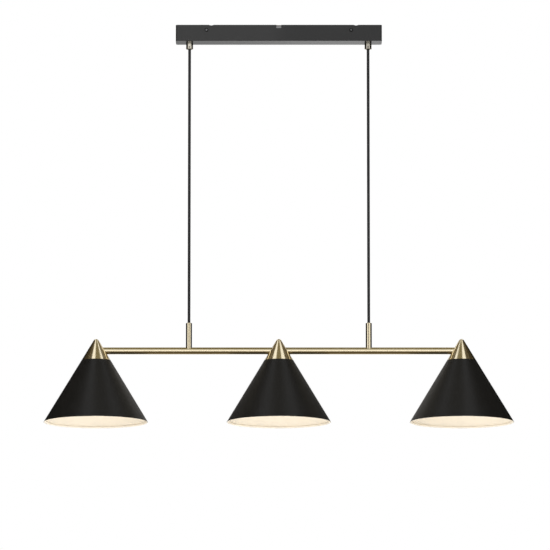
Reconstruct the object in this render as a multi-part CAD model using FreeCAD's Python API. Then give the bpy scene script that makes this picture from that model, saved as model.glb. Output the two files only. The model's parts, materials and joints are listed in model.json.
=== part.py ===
import FreeCAD, Part
import math
import os

# Pendant lamp: three cone shades on one bar, which hangs from a long ceiling canopy by two cables.
# Millimetres. The origin is on the ceiling, at the middle of the canopy. X runs along the bar,
# +Z is up and the front of the lamp faces -Y.

# Ceiling bracket
bracket_overhang = 14.5
bracket_width = 26.0
bracket_sheet = 2.0
bracket_wall_gap = 0.2
bracket_corner_radius = 6.5
bracket_bend_radius = 1.0
ceiling_slot_spacing = 200.0
ceiling_slot_length = 20.0
ceiling_slot_width = 5.2
supply_hole_diameter = 18.0
supply_hole_x = 38.0
side_tab_width = 14.0
side_tab_drop = 18.0
middle_tab_width = 16.0
middle_tab_drop = 13.0

# Canopy
canopy_length = 443.0
canopy_depth = 46.0
canopy_height = 35.0
canopy_sheet = 1.2
canopy_corner_radius = 4.5
canopy_edge_radius = 0.7
side_screw_inset = 66.0
side_screw_drop = 11.2
scallop_offset = 10.5
scallop_width = 10.5
scallop_depth = 1.3
middle_notch_width = 10.6
middle_notch_depth = 7.0

# Clearance of a bolt, a nipple or a grip in a plain hole, and how far a cutter runs past a face
hole_gap = 0.1
overshoot = 1.0

# Small screws, by thread radius and head
side_screw_radius = 2.0
side_screw_head_radius = 3.9
side_screw_head_height = 2.2
side_screw_head_rounding = 1.8
side_screw_length = 8.0
earth_screw_radius = 2.0
earth_screw_head_radius = 3.6
earth_screw_head_height = 2.4
earth_screw_x = 62.0
earth_screw_y = 8.0

# Cables, and the bare core that bends at each mouth
cable_diameter = 6.0
cable_free_length = 594.5
cable_inset = 29.5
core_diameter = 3.0
core_gap = 0.1
cable_bore_gap = 0.2
swing_limit = math.radians(32.0)

# Cord grips
grip_diameter = 15.0
grip_height = 14.5
grip_chamfer = 0.8
entry_thread_radius = 5.0
grip_spigot_length = 8.5
grip_nut_flats = 14.0
grip_nut_height = 4.0
nut_chamfer_angle = 30.0
grip_washer_radius = 9.0
grip_washer_height = 1.0
grub_screw_drop = 10.5
grub_screw_radius = 1.5
grub_point_radius = 0.8
grub_head_inset = 0.4
grub_socket_radius = 0.75
grub_socket_depth = 1.4

# Wiring in the canopy
tail_bend_radius = 14.0
tail_end_x = 72.0
lead_radius = 1.0
lead_spread = 1.5
lead_straight = 4.0
earth_lead_rise = 1.9
terminal_length = 28.0
terminal_width = 19.0
terminal_height = 14.0
terminal_x = -9.0
terminal_edge_radius = 1.5
terminal_pitch = 6.0
terminal_wire_radius = 1.4
terminal_wire_depth = 6.0
terminal_wire_rise = 6.3
terminal_screw_radius = 1.8
terminal_screw_length = 5.0
terminal_screw_inset = 1.0
terminal_screw_x = 8.0
terminal_fixing_radius = 1.5
terminal_fixing_head_radius = 2.7
terminal_fixing_head_height = 2.0
screw_slot_width = 0.6
screw_slot_depth = 0.9

# Stems
stem_diameter = 13.0
stem_height = 60.0
stem_edge_radius = 1.0
stem_bore_radius = 4.6
stem_collar_length = 8.0
stem_spigot_radius = 5.0
stem_spigot_reach = 1.5
cable_stop_height = 9.0
cable_stop_wall = 1.3

# Bar
bar_diameter = 15.0
bar_wall = 1.5
bar_end_reach = 10.0
head_spacing = 390.0
bar_lead_radius = 1.1
bar_lead_spread = 1.6

# Heads: the cap and the shade share one cone
apex_above_bar = 31.5
cap_height = 52.0
cap_tip_radius = 6.3
cap_wall = 2.5
cap_roof = 2.5
cap_boss_radius = 9.0
bar_fit_gap = 0.05
shade_height = 133.0
shade_rim_diameter = 222.0
shade_sheet = 1.0
shade_hem_height = 3.0
nipple_bore_radius = 3.6
nipple_top_drop = 3.0
nipple_grip = 9.0
shade_washer_radius = 9.0
shade_washer_height = 1.0

# Lampholders
holder_radius = 19.5
holder_wall = 2.0
holder_neck_radius = 8.0
holder_neck_height = 7.0
holder_dome_height = 20.0
holder_body_height = 36.0
holder_lap = 3.0
holder_lip = 1.0
holder_skirt_height = 9.0
holder_flutes = 24
holder_flute_radius = 1.1
holder_flute_depth = 0.6
core_block_height = 11.0
core_block_gap = 0.1
contact_radius = 3.5
contact_height = 2.0

# Bulbs
bulb_cap_radius = 13.1
bulb_cap_height = 21.0
bulb_cap_gap = 0.3
bulb_tip_radius = 4.5
bulb_tip_height = 3.0
bulb_globe_radius = 22.5
bulb_length = 78.0
bulb_glass_wall = 0.9
bulb_cap_wall = 1.5
bulb_neck_angle = 50.0
bulb_neck_step = 0.6
bulb_neck_flare = 0.3

# Heights and places worked out from the sizes above
side_screw_spacing = canopy_length - 2 * side_screw_inset
bracket_length = side_screw_spacing + 2 * bracket_overhang
cable_spacing = canopy_length - 2 * cable_inset
canopy_bottom = -canopy_height
grip_mouth = canopy_bottom - grip_height
stem_mouth = grip_mouth - cable_free_length
bar_axis = stem_mouth - stem_height
bar_radius = bar_diameter / 2
bar_inner_radius = bar_radius - bar_wall
cable_radius = cable_diameter / 2
core_radius = core_diameter / 2
bend_depth = core_radius + core_gap
top_bend = grip_mouth + bend_depth
foot_bend = stem_mouth - bend_depth
cone_slope = (shade_rim_diameter / 2) / (cap_height + shade_height)
cone_angle = math.atan(cone_slope)
apex = bar_axis + apex_above_bar
seam = apex - cap_height
rim = seam - shade_height
holder_top = seam - shade_sheet - shade_washer_height
holder_joint = holder_top - holder_dome_height
holder_mouth = holder_joint - holder_body_height
core_block_bottom = holder_joint + holder_lap - core_block_height
bulb_top = core_block_bottom - contact_height
spigot_top = canopy_bottom + grip_spigot_length
tail_height = spigot_top + hole_gap + tail_bend_radius
cable_xs = {"left": -cable_spacing / 2, "right": cable_spacing / 2}
head_xs = {"left": -head_spacing, "middle": 0.0, "right": head_spacing}


def point(x, y, z):
    return FreeCAD.Vector(x, y, z)


def on_plane(pair):
    x, z = pair
    return point(x, 0, z)


def closed_face(start, *steps):
    """A face in the XZ plane. Each step is a point, or (point on the arc, end point)."""
    edges = []
    here = start
    for step in steps:
        if isinstance(step[0], tuple):
            middle, end = step
            edges.append(Part.Arc(on_plane(here), on_plane(middle), on_plane(end)).toShape())
        else:
            end = step
            edges.append(Part.makeLine(on_plane(here), on_plane(end)))
        here = end
    if here != start:
        edges.append(Part.makeLine(on_plane(here), on_plane(start)))
    return Part.Face(Part.Wire(edges))


def turned(x, start, *steps):
    """A turned piece on the vertical line at x. The outline is (radius, height)."""
    solid = closed_face(start, *steps).revolve(point(0, 0, 0), point(0, 0, 1), 360)
    solid.translate(point(x, 0, 0))
    return solid


def rod(radius, start, end):
    """A round rod from one point to another."""
    run = end - start
    return Part.makeCylinder(radius, run.Length, start, run)


def upright(radius, x, low, high, y=0.0):
    return rod(radius, point(x, y, low), point(x, y, high))


def ring(outer, inner, x, low, high):
    return upright(outer, x, low, high).cut(upright(inner, x, low, high))


def slab(length, depth, low, high, x=0.0, y=0.0):
    return Part.makeBox(length, depth, high - low, point(x - length / 2, y - depth / 2, low))


def is_upright(edge):
    low, high = (v.Point for v in edge.Vertexes)
    return abs(low.x - high.x) < 1e-6 and abs(low.y - high.y) < 1e-6


def rounded_slab(length, depth, low, high, radius):
    box = slab(length, depth, low, high)
    return box.makeFillet(radius, [e for e in box.Edges if is_upright(e)])


def hexagon(flats, x, low, high):
    """A hexagonal prism with two flats facing the front and the back."""
    radius = flats / 2 / math.cos(math.radians(30))
    corners = []
    for n in range(7):
        turn = math.radians(60 * n)
        corners.append(point(x + radius * math.cos(turn), radius * math.sin(turn), low))
    return Part.Face(Part.makePolygon(corners)).extrude(point(0, 0, high - low))


def slotted(length, width, x, low, high):
    """A slot cutter along X with round ends."""
    straight = slab(length - width, width, low, high, x)
    ends = [upright(width / 2, x + side * (length - width) / 2, low, high) for side in (-1, 1)]
    return straight.fuse(ends).removeSplitter()


def routed(radius, corners, bend=None):
    """A round tube along straight runs, with an arc at each corner between them.

    Without a bend radius each arc takes 0.45 of the shorter of its two runs.
    """
    path = []
    here = corners[0]
    for before, corner, after in zip(corners, corners[1:], corners[2:]):
        back = (before - corner).normalize()
        ahead = (after - corner).normalize()
        half_turn = (math.pi - back.getAngle(ahead)) / 2
        runs = min((corner - before).Length, (after - corner).Length)
        setback = bend * math.tan(half_turn) if bend else 0.45 * runs
        arc_radius = setback / math.tan(half_turn)
        arc_start = corner + back * setback
        arc_end = corner + ahead * setback
        inward = (back + ahead).normalize()
        middle = corner + inward * (math.hypot(setback, arc_radius) - arc_radius)
        path.append(Part.makeLine(here, arc_start))
        path.append(Part.Arc(arc_start, middle, arc_end).toShape())
        here = arc_end
    path.append(Part.makeLine(here, corners[-1]))
    wire = Part.Wire(path)
    section = Part.Wire(Part.makeCircle(radius, corners[0], corners[1] - corners[0]))
    return wire.makePipeShell([section], True, False)


def mirrored(shape):
    """The same piece on the other side of the lamp, as a copy turned half round about Z."""
    copy = shape.copy()
    copy.rotate(point(0, 0, 0), point(0, 0, 1), 180)
    return copy


def folded_tab(x, width, drop):
    """A tab that leaves the web's front edge and folds down along the canopy's wall."""
    reach = canopy_depth / 2 - canopy_sheet - bracket_wall_gap
    inside = bracket_bend_radius
    outside = inside + bracket_sheet
    turn = math.sqrt(0.5)
    root = bracket_width / 2 - bracket_sheet
    outer_centre = (reach - outside, -outside)
    outline = closed_face(
        (root, 0.0),
        (reach - outside, 0.0),
        ((outer_centre[0] + outside * turn, outer_centre[1] + outside * turn), (reach, -outside)),
        (reach, -drop),
        (reach - bracket_sheet, -drop),
        (reach - bracket_sheet, -outside),
        (
            (outer_centre[0] + inside * turn, outer_centre[1] + inside * turn),
            (reach - outside, -bracket_sheet),
        ),
        (root, -bracket_sheet),
    )
    tab = outline.extrude(point(0, width, 0))
    tab.rotate(point(0, 0, 0), point(0, 0, 1), -90)
    tab.translate(point(x - width / 2, 0, 0))
    return tab


def ceiling_bracket():
    """Steel strip against the ceiling, with tabs that carry the canopy's side screws."""
    web = slab(bracket_length, bracket_width, -bracket_sheet, 0)
    web = web.makeFillet(bracket_corner_radius, [e for e in web.Edges if is_upright(e)])
    tabs = [folded_tab(side * side_screw_spacing / 2, side_tab_width, side_tab_drop) for side in (-1, 1)]
    tabs.append(folded_tab(0, middle_tab_width, middle_tab_drop))
    body = web.fuse(tabs + [mirrored(tab) for tab in tabs]).removeSplitter()
    low, high = -bracket_sheet - overshoot, overshoot
    for side in (-1, 1):
        spot = side * ceiling_slot_spacing / 2
        body = body.cut(slotted(ceiling_slot_length, ceiling_slot_width, spot, low, high))
        body = body.cut(upright(earth_screw_radius, side * earth_screw_x, low, high, side * earth_screw_y))
        screw_x = side * side_screw_spacing / 2
        across = rod(
            side_screw_radius,
            point(screw_x, -canopy_depth, -side_screw_drop),
            point(screw_x, canopy_depth, -side_screw_drop),
        )
        body = body.cut(across)
    body = body.cut(upright(supply_hole_diameter / 2, supply_hole_x, low, high))
    return body.cut(upright(terminal_fixing_radius, terminal_x, low, high))


def canopy():
    """Folded sheet box, open at the top, with rounded upright corners."""
    shell = rounded_slab(canopy_length, canopy_depth, canopy_bottom, 0, canopy_corner_radius)
    bottom_edges = [e for e in shell.Edges if e.BoundBox.ZMax < canopy_bottom + 1e-6]
    shell = shell.makeFillet(canopy_edge_radius, bottom_edges)
    inside_radius = max(canopy_corner_radius - canopy_sheet, canopy_sheet / 2)
    shell = shell.cut(
        rounded_slab(
            canopy_length - 2 * canopy_sheet,
            canopy_depth - 2 * canopy_sheet,
            canopy_bottom + canopy_sheet,
            canopy_sheet,
            inside_radius,
        )
    )
    for x in cable_xs.values():
        hole_top = canopy_bottom + 2 * canopy_sheet
        hole = upright(entry_thread_radius + hole_gap, x, canopy_bottom - overshoot, hole_top)
        shell = shell.cut(hole)
    scallop_radius = (scallop_width**2 / 4 + scallop_depth**2) / (2 * scallop_depth)
    front = -canopy_depth / 2
    cuts = []
    for side in (-1, 1):
        x = side * side_screw_spacing / 2
        cuts.append(
            rod(
                side_screw_radius + hole_gap,
                point(x, front - overshoot, -side_screw_drop),
                point(x, front + 2 * canopy_sheet, -side_screw_drop),
            )
        )
        centre = scallop_radius - scallop_depth
        cuts.append(
            rod(
                scallop_radius,
                point(x + scallop_offset, front - overshoot, centre),
                point(x + scallop_offset, front + 2 * canopy_sheet, centre),
            )
        )
    cuts.append(slab(middle_notch_width, 4 * canopy_sheet, -middle_notch_depth, overshoot, 0, front))
    return shell.cut(cuts + [mirrored(cut) for cut in cuts])


def canopy_screws():
    """Pan-head screws through the canopy's long sides into the bracket's tabs."""
    screws = []
    face = canopy_depth / 2
    for side in (-1, 1):
        x = side * side_screw_spacing / 2
        shank = rod(
            side_screw_radius,
            point(x, -face, -side_screw_drop),
            point(x, -face + side_screw_length, -side_screw_drop),
        )
        head = rod(
            side_screw_head_radius,
            point(x, -face, -side_screw_drop),
            point(x, -face - side_screw_head_height, -side_screw_drop),
        )
        rounded = [e for e in head.Edges if e.BoundBox.YMax < -face - side_screw_head_height / 2]
        head = head.makeFillet(side_screw_head_rounding, rounded)
        screw = head.fuse(shank)
        screws.extend([screw, mirrored(screw)])
    return Part.makeCompound(screws)


def mouth_radius():
    """Where a cable leaves its bore, the bore is wide enough for the cable's swing."""
    reach = bend_depth * math.tan(swing_limit) + cable_radius / math.cos(swing_limit)
    return reach + cable_bore_gap


def cord_grip(x):
    """Turned grip with a threaded spigot above, a bell mouth below and a grub screw hole."""
    bore = cable_radius + cable_bore_gap
    wide = math.hypot(bend_depth, cable_radius) + cable_bore_gap
    radius = grip_diameter / 2
    body = turned(
        x,
        (bore, spigot_top),
        (bore, top_bend + core_radius),
        (wide, top_bend + cable_bore_gap),
        (mouth_radius(), grip_mouth),
        (radius - grip_chamfer, grip_mouth),
        (radius, grip_mouth + grip_chamfer),
        (radius, canopy_bottom),
        (entry_thread_radius, canopy_bottom),
        (entry_thread_radius, spigot_top),
    )
    height = canopy_bottom - grub_screw_drop
    return body.cut(rod(grub_screw_radius, point(x, -radius - overshoot, height), point(x, 0, height)))


def grub_screws():
    """Socket screws with a dog point, which press the cables' tails in their grips."""
    screws = []
    height = canopy_bottom - grub_screw_drop
    outer = -grip_diameter / 2 + grub_head_inset
    step = -(cable_radius + cable_bore_gap + grub_point_radius)
    for x in cable_xs.values():
        body = rod(grub_screw_radius, point(x, outer, height), point(x, step, height))
        dog = rod(grub_point_radius, point(x, step, height), point(x, -cable_radius - core_gap, height))
        bottom = outer + grub_socket_depth
        socket = rod(grub_socket_radius, point(x, outer, height), point(x, bottom, height))
        screws.append(body.fuse(dog).cut(socket))
    return Part.makeCompound(screws)


def grip_washers():
    low = canopy_bottom + canopy_sheet
    rings = [
        ring(grip_washer_radius, entry_thread_radius + hole_gap, x, low, low + grip_washer_height)
        for x in cable_xs.values()
    ]
    return Part.makeCompound(rings)


def grip_lock_nuts():
    """Hexagon nuts with both faces chamfered down to the flats."""
    low = canopy_bottom + canopy_sheet + grip_washer_height
    high = low + grip_nut_height
    flat_radius = grip_nut_flats / 2
    corner_radius = flat_radius / math.cos(math.radians(30))
    chamfer = (corner_radius - flat_radius) * math.tan(math.radians(nut_chamfer_angle))
    nuts = []
    for x in cable_xs.values():
        blank = turned(
            x,
            (entry_thread_radius, low),
            (flat_radius, low),
            (corner_radius, low + chamfer),
            (corner_radius, high - chamfer),
            (flat_radius, high),
            (entry_thread_radius, high),
        )
        nuts.append(blank.common(hexagon(grip_nut_flats, x, low, high)))
    return Part.makeCompound(nuts)


def cable_tail(x):
    """The cable above its grip: up through the spigot and round towards the terminal block."""
    side = math.copysign(1, x)
    corners = [
        point(x, 0, top_bend + bend_depth),
        point(x, 0, tail_height),
        point(side * tail_end_x, 0, tail_height),
    ]
    return routed(cable_radius, corners, tail_bend_radius)


def leads(to_y):
    """Insulated leads from the tails to the terminal block's poles at one Y."""
    height = terminal_wire_height()
    from_y = math.copysign(lead_spread, to_y)
    runs = []
    for side in (-1, 1):
        block_end = terminal_x + side * terminal_length / 2
        corners = [
            point(side * tail_end_x, from_y, tail_height),
            point(side * (tail_end_x - lead_straight), from_y, tail_height),
            point(block_end + side * lead_straight, to_y, height),
            point(block_end - side * terminal_wire_depth / 2, to_y, height),
        ]
        runs.append(routed(lead_radius, corners))
    return Part.makeCompound(runs)


def earth_leads():
    """A lead from each tail to its earth screw on the bracket."""
    under = -bracket_sheet - earth_screw_head_height
    runs = []
    for side in (-1, 1):
        corners = [
            point(side * tail_end_x, 0, tail_height + earth_lead_rise),
            point(side * (tail_end_x - lead_straight), 0, tail_height + earth_lead_rise),
            point(side * earth_screw_x, side * earth_screw_y, tail_height + 2 * earth_lead_rise),
            point(side * earth_screw_x, side * earth_screw_y, under),
        ]
        runs.append(routed(lead_radius, corners))
    return Part.makeCompound(runs)


def earth_screws():
    under = -bracket_sheet - earth_screw_head_height
    screws = []
    for side in (-1, 1):
        x = side * earth_screw_x
        y = side * earth_screw_y
        head = upright(earth_screw_head_radius, x, under, -bracket_sheet, y)
        screws.append(head.fuse(upright(earth_screw_radius, x, -bracket_sheet, 0, y)))
    return Part.makeCompound(screws)


def terminal_wire_height():
    return -bracket_sheet - terminal_height + terminal_wire_rise


def terminal_block():
    """Moulded three-pole block under the bracket, with wire holes at its ends and screw wells below."""
    top = -bracket_sheet
    low = top - terminal_height
    body = slab(terminal_length, terminal_width, low, top, terminal_x)
    body = body.makeFillet(terminal_edge_radius, [e for e in body.Edges if e.BoundBox.ZMin < top - 1e-6])
    height = terminal_wire_height()
    well_top = low + terminal_screw_inset + terminal_screw_length
    for pole in (-1, 0, 1):
        y = pole * terminal_pitch
        for side in (-1, 1):
            outside = point(terminal_x + side * terminal_length, y, height)
            inside = point(terminal_x + side * (terminal_length / 2 - terminal_wire_depth), y, height)
            body = body.cut(rod(terminal_wire_radius, outside, inside))
            well_x = terminal_x + side * terminal_screw_x
            body = body.cut(upright(terminal_screw_radius, well_x, low - overshoot, well_top, y))
    head_top = low + terminal_screw_inset + terminal_fixing_head_height
    body = body.cut(upright(terminal_fixing_head_radius, terminal_x, low - overshoot, head_top))
    return body.cut(upright(terminal_fixing_radius, terminal_x, low, top + overshoot))


def terminal_screws():
    """The block's six clamping screws, with slots, and the screw that fixes it to the bracket."""
    low = -bracket_sheet - terminal_height + terminal_screw_inset
    slot_top = low + screw_slot_depth
    screws = []
    for pole in (-1, 0, 1):
        for side in (-1, 1):
            x = terminal_x + side * terminal_screw_x
            y = pole * terminal_pitch
            screw = upright(terminal_screw_radius, x, low, low + terminal_screw_length, y)
            slot = slab(2 * terminal_screw_radius, screw_slot_width, low, slot_top, x, y)
            screws.append(screw.cut(slot))
    head = upright(terminal_fixing_head_radius, terminal_x, low, low + terminal_fixing_head_height)
    slot = slab(2 * terminal_fixing_head_radius, screw_slot_width, low, slot_top, terminal_x)
    screws.append(head.fuse(upright(terminal_fixing_radius, terminal_x, low, 0)).cut(slot))
    return Part.makeCompound(screws)


def flexing_core(x, height):
    """The cable's bare core where the cable bends, as a ball about the point it bends at."""
    return Part.makeSphere(core_radius, point(x, 0, height))


def cable(x):
    """The straight stretch of cable between the mouth of its grip and the mouth of its stem."""
    return upright(cable_radius, x, stem_mouth, grip_mouth)


def stem(x):
    """Turned stem with a bell mouth, a collar for the cable and a saddle foot on the bar."""
    radius = stem_diameter / 2
    bore = cable_radius + cable_bore_gap
    wide = math.hypot(bend_depth, cable_radius) + cable_bore_gap
    turn = stem_edge_radius * (1 - math.sqrt(0.5))
    collar_foot = stem_mouth - stem_collar_length
    body = turned(
        x,
        (bore, foot_bend - core_radius),
        (bore, collar_foot),
        (stem_bore_radius, collar_foot),
        (stem_bore_radius, bar_axis),
        (radius, bar_axis),
        (radius, stem_mouth - stem_edge_radius),
        ((radius - turn, stem_mouth - turn), (radius - stem_edge_radius, stem_mouth)),
        (mouth_radius(), stem_mouth),
        (wide, foot_bend - cable_bore_gap),
    )
    saddle = rod(bar_radius, point(x - stem_diameter, 0, bar_axis), point(x + stem_diameter, 0, bar_axis))
    spigot_foot = bar_axis + bar_inner_radius - stem_spigot_reach
    spigot = ring(stem_spigot_radius, stem_bore_radius, x, spigot_foot, bar_axis + bar_diameter)
    return body.cut(saddle).fuse(spigot).removeSplitter()


def stem_tail(x):
    """The cable's lower end inside its stem, down to the leads in the bar."""
    return upright(cable_radius, x, bar_axis + bar_lead_radius + core_gap, foot_bend - bend_depth)


def cable_stops():
    """Ferrules crimped on the cables below the stems' collars, which carry the bar."""
    high = stem_mouth - stem_collar_length
    rings = [
        ring(cable_radius + cable_stop_wall, cable_radius, x, high - cable_stop_height, high)
        for x in cable_xs.values()
    ]
    return Part.makeCompound(rings)


def bar():
    """Round tube with a hole above for each stem and one below for each nipple."""
    half = head_spacing + bar_end_reach
    low, high = point(-half, 0, bar_axis), point(half, 0, bar_axis)
    tube = rod(bar_radius, low, high).cut(rod(bar_inner_radius, low, high))
    holes = [upright(stem_spigot_radius, x, bar_axis, bar_axis + bar_diameter) for x in cable_xs.values()]
    holes += [upright(entry_thread_radius, x, bar_axis - bar_diameter, bar_axis) for x in head_xs.values()]
    return tube.cut(holes)


def bar_leads():
    """The pair of leads along the inside of the bar."""
    half = head_spacing + bar_lead_spread + bar_lead_radius
    runs = [
        rod(
            bar_lead_radius,
            point(-half, side * bar_lead_spread, bar_axis),
            point(half, side * bar_lead_spread, bar_axis),
        )
        for side in (-1, 1)
    ]
    return Part.makeCompound(runs)


def drop_leads():
    """A pair of leads from the bar down each nipple to the lampholder's core."""
    core_top = core_block_bottom + core_block_height
    runs = [
        upright(bar_lead_radius, x, core_top, bar_axis - bar_lead_radius, side * bar_lead_spread)
        for x in head_xs.values()
        for side in (-1, 1)
    ]
    return Part.makeCompound(runs)


def cone_radius(height):
    """Outside radius of the cone that the cap and the shade share."""
    return (apex - height) * cone_slope


def cap(name):
    """Cast cone tip, bored across for the bar and hollow below around a threaded boss."""
    x = head_xs[name]
    centre = apex - cap_tip_radius / math.sin(cone_angle)
    touch_radius = cap_tip_radius * math.cos(cone_angle)
    touch_height = centre + cap_tip_radius * math.sin(cone_angle)
    halfway = math.pi / 4 + cone_angle / 2
    on_tip = (cap_tip_radius * math.cos(halfway), centre + cap_tip_radius * math.sin(halfway))
    roof = bar_axis - bar_radius - cap_roof
    wall = cap_wall / math.cos(cone_angle)
    body = turned(
        x,
        (entry_thread_radius, seam),
        (cap_boss_radius, seam),
        (cap_boss_radius, roof),
        (cone_radius(roof) - wall, roof),
        (cone_radius(seam) - wall, seam),
        (cone_radius(seam), seam),
        (touch_radius, touch_height),
        (on_tip, (0.0, centre + cap_tip_radius)),
        (0.0, bar_axis),
        (entry_thread_radius, bar_axis),
    )
    reach = {
        "left": (x - bar_end_reach, 0),
        "middle": (-cap_height, cap_height),
        "right": (0, x + bar_end_reach),
    }
    start, end = reach[name]
    bore = rod(bar_radius + bar_fit_gap, point(start, 0, bar_axis), point(end, 0, bar_axis))
    return body.cut(bore)


def shade(name):
    """Spun cone with a flat top that the nipple goes through, and a hem at the rim."""
    wall = shade_sheet / math.cos(cone_angle)
    hem_top = rim + shade_hem_height
    half_sheet = shade_sheet / 2
    rim_radius = cone_radius(rim)
    return turned(
        head_xs[name],
        (entry_thread_radius + hole_gap, seam),
        (cone_radius(seam), seam),
        (rim_radius, rim + half_sheet),
        ((rim_radius - wall, rim), (rim_radius - 2 * wall, rim + half_sheet)),
        (cone_radius(hem_top) - 2 * wall, hem_top),
        (cone_radius(hem_top) - wall, hem_top),
        (cone_radius(seam - shade_sheet) - wall, seam - shade_sheet),
        (entry_thread_radius + hole_gap, seam - shade_sheet),
    )


def nipple(name):
    """Hollow threaded tube that holds bar, cap, shade and lampholder together."""
    top = bar_axis - nipple_top_drop
    return ring(entry_thread_radius, nipple_bore_radius, head_xs[name], holder_top - nipple_grip, top)


def shade_washers():
    high = seam - shade_sheet
    inner = entry_thread_radius + hole_gap
    rings = [
        ring(shade_washer_radius, inner, x, high - shade_washer_height, high) for x in head_xs.values()
    ]
    return Part.makeCompound(rings)


def holder_cap(name):
    """Cap of the lampholder: a threaded neck, a domed shoulder and a skirt with flutes for the fingers."""
    x = head_xs[name]
    shoulder = holder_top - holder_neck_height
    inside = holder_radius - holder_wall
    skirt_top = holder_joint + holder_skirt_height
    dome = shoulder - skirt_top
    turn = math.sqrt(0.5)
    spread = holder_radius - holder_neck_radius
    inner_spread = inside - holder_neck_radius
    shell = turned(
        x,
        (entry_thread_radius, holder_top),
        (holder_neck_radius, holder_top),
        (holder_neck_radius, shoulder),
        (
            (holder_neck_radius + spread * turn, skirt_top + dome * turn),
            (holder_radius, skirt_top),
        ),
        (holder_radius, holder_joint),
        (inside, holder_joint),
        (inside, skirt_top),
        (
            (holder_neck_radius + inner_spread * turn, skirt_top + (dome - holder_wall) * turn),
            (holder_neck_radius, shoulder - holder_wall),
        ),
        (entry_thread_radius, shoulder - holder_wall),
    )
    out = holder_radius + holder_flute_radius - holder_flute_depth
    flutes = []
    for n in range(holder_flutes):
        around = 2 * math.pi * n / holder_flutes
        flute_x = x + out * math.cos(around)
        flute_y = out * math.sin(around)
        low = holder_joint + holder_lap
        flutes.append(upright(holder_flute_radius, flute_x, low, holder_top, flute_y))
    return shell.cut(flutes)


def holder_body(name):
    """Lampholder sleeve: it laps into the cap, holds the core and takes the bulb's screw cap."""
    inside = bulb_cap_radius + bulb_cap_gap
    lap_radius = holder_radius - holder_wall - bar_fit_gap
    core_radius_inside = core_block_radius() + core_block_gap
    return turned(
        head_xs[name],
        (inside, core_block_bottom),
        (core_radius_inside, core_block_bottom),
        (core_radius_inside, holder_joint + holder_lap),
        (lap_radius, holder_joint + holder_lap),
        (lap_radius, holder_joint),
        (holder_radius, holder_joint),
        (holder_radius, holder_mouth + holder_wall),
        ((holder_radius + holder_lip, holder_mouth + holder_wall / 2), (holder_radius, holder_mouth)),
        (inside, holder_mouth),
    )


def core_block_radius():
    return bulb_cap_radius + holder_wall / 2


def holder_core(name):
    """Ceramic contact block with its centre contact, under the leads' ends."""
    top = core_block_bottom + core_block_height
    return turned(
        head_xs[name],
        (0.0, top),
        (core_block_radius(), top),
        (core_block_radius(), core_block_bottom),
        (contact_radius, core_block_bottom),
        (contact_radius, bulb_top),
        (0.0, bulb_top),
    )


def bulb_cap(name):
    """The bulb's screw cap with its centre contact, open towards the glass."""
    shoulder = bulb_top - bulb_tip_height
    foot = shoulder - bulb_cap_height
    return turned(
        head_xs[name],
        (0.0, bulb_top - core_gap),
        (bulb_tip_radius, bulb_top - core_gap),
        (bulb_cap_radius, shoulder),
        (bulb_cap_radius, foot),
        (bulb_cap_radius - bulb_cap_wall, foot),
        (bulb_cap_radius - bulb_cap_wall, shoulder - bulb_cap_wall),
        (0.0, shoulder - bulb_cap_wall),
    )


def bulb_glass(name):
    """The bulb's hollow globe, which runs up in a neck to its screw cap."""
    top = bulb_top - bulb_tip_height - bulb_cap_height
    centre = bulb_top - bulb_length + bulb_globe_radius
    neck_turn = math.radians(bulb_neck_angle)
    across, up = math.cos(neck_turn), math.sin(neck_turn)
    outer = bulb_globe_radius
    inner = bulb_globe_radius - bulb_glass_wall
    neck_outer = bulb_cap_radius - bulb_neck_step
    neck_inner = neck_outer - bulb_glass_wall
    neck_middle = (top + centre + outer * up) / 2
    return turned(
        head_xs[name],
        (neck_inner, top),
        (neck_outer, top),
        ((neck_outer + bulb_neck_flare, neck_middle), (outer * across, centre + outer * up)),
        ((outer, centre), (0.0, centre - outer)),
        (0.0, centre - inner),
        ((inner, centre), (inner * across, centre + inner * up)),
        ((neck_inner + bulb_neck_flare, neck_middle), (neck_inner, top)),
    )


def pieces():
    """Every piece by name."""
    made = {
        "ceiling_bracket": ceiling_bracket(),
        "canopy": canopy(),
        "canopy_screws": canopy_screws(),
        "grip_grub_screws": grub_screws(),
        "grip_washers": grip_washers(),
        "grip_lock_nuts": grip_lock_nuts(),
        "terminal_block": terminal_block(),
        "terminal_screws": terminal_screws(),
        "earth_screws": earth_screws(),
        "live_leads": leads(-terminal_pitch),
        "neutral_leads": leads(terminal_pitch),
        "earth_leads": earth_leads(),
        "bar": bar(),
        "bar_leads": bar_leads(),
        "drop_leads": drop_leads(),
        "cable_stops": cable_stops(),
        "shade_washers": shade_washers(),
    }
    for side, x in cable_xs.items():
        made[f"{side}_cord_grip"] = cord_grip(x)
        made[f"{side}_cable_tail"] = cable_tail(x)
        made[f"{side}_cable_neck"] = flexing_core(x, top_bend)
        made[f"{side}_cable"] = cable(x)
        made[f"{side}_cable_foot"] = flexing_core(x, foot_bend)
        made[f"{side}_stem"] = stem(x)
        made[f"{side}_stem_tail"] = stem_tail(x)
    makers = (cap, nipple, shade, holder_cap, holder_body, holder_core, bulb_cap, bulb_glass)
    for head in head_xs:
        for maker in makers:
            made[f"{head}_{maker.__name__}"] = maker(head)
    return made


os.makedirs("parts", exist_ok=True)
for piece_name, piece in pieces().items():
    piece.exportStep(f"parts/{piece_name}.step")
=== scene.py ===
import bmesh
import bpy
import json
import math
from mathutils import Matrix, Vector


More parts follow.
